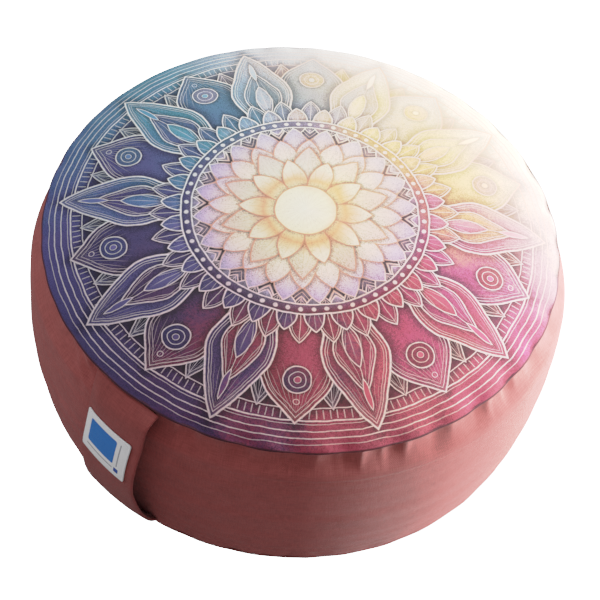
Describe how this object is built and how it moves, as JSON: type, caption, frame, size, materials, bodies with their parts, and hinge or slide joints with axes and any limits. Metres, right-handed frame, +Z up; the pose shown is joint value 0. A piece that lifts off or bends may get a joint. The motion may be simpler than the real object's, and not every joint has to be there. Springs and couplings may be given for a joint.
{
  "type": "meditation cushion",
  "caption": "Round filled meditation cushion with a domed printed top, puckered cloth side, flat base and a sewn-on carry strap with a small woven label.",
  "frame": {"origin": "centre of the flat face of the base that rests on the ground", "axes": "+Z up through the middle of the cushion; the carry strap faces -Y"},
  "size_m": [0.3645, 0.3739, 0.167],
  "materials": {
    "rose_cotton": "matt plain-weave cotton, dusty rose",
    "printed_cloth": "matt printed cotton, a many-coloured round pattern",
    "base_cotton": "matt plain-weave cotton, dusty rose",
    "strap_cotton": "matt plain-weave cotton, dusty rose, folded double",
    "label_tape": "satin-woven white tape with a plain blue field"
  },
  "bodies": {
    "root": {"cushion_body": "rose_cotton", "top_panel": "printed_cloth", "bottom_panel": "base_cotton", "carry_strap": "strap_cotton", "label": "label_tape"}
  },
  "joints": []
}
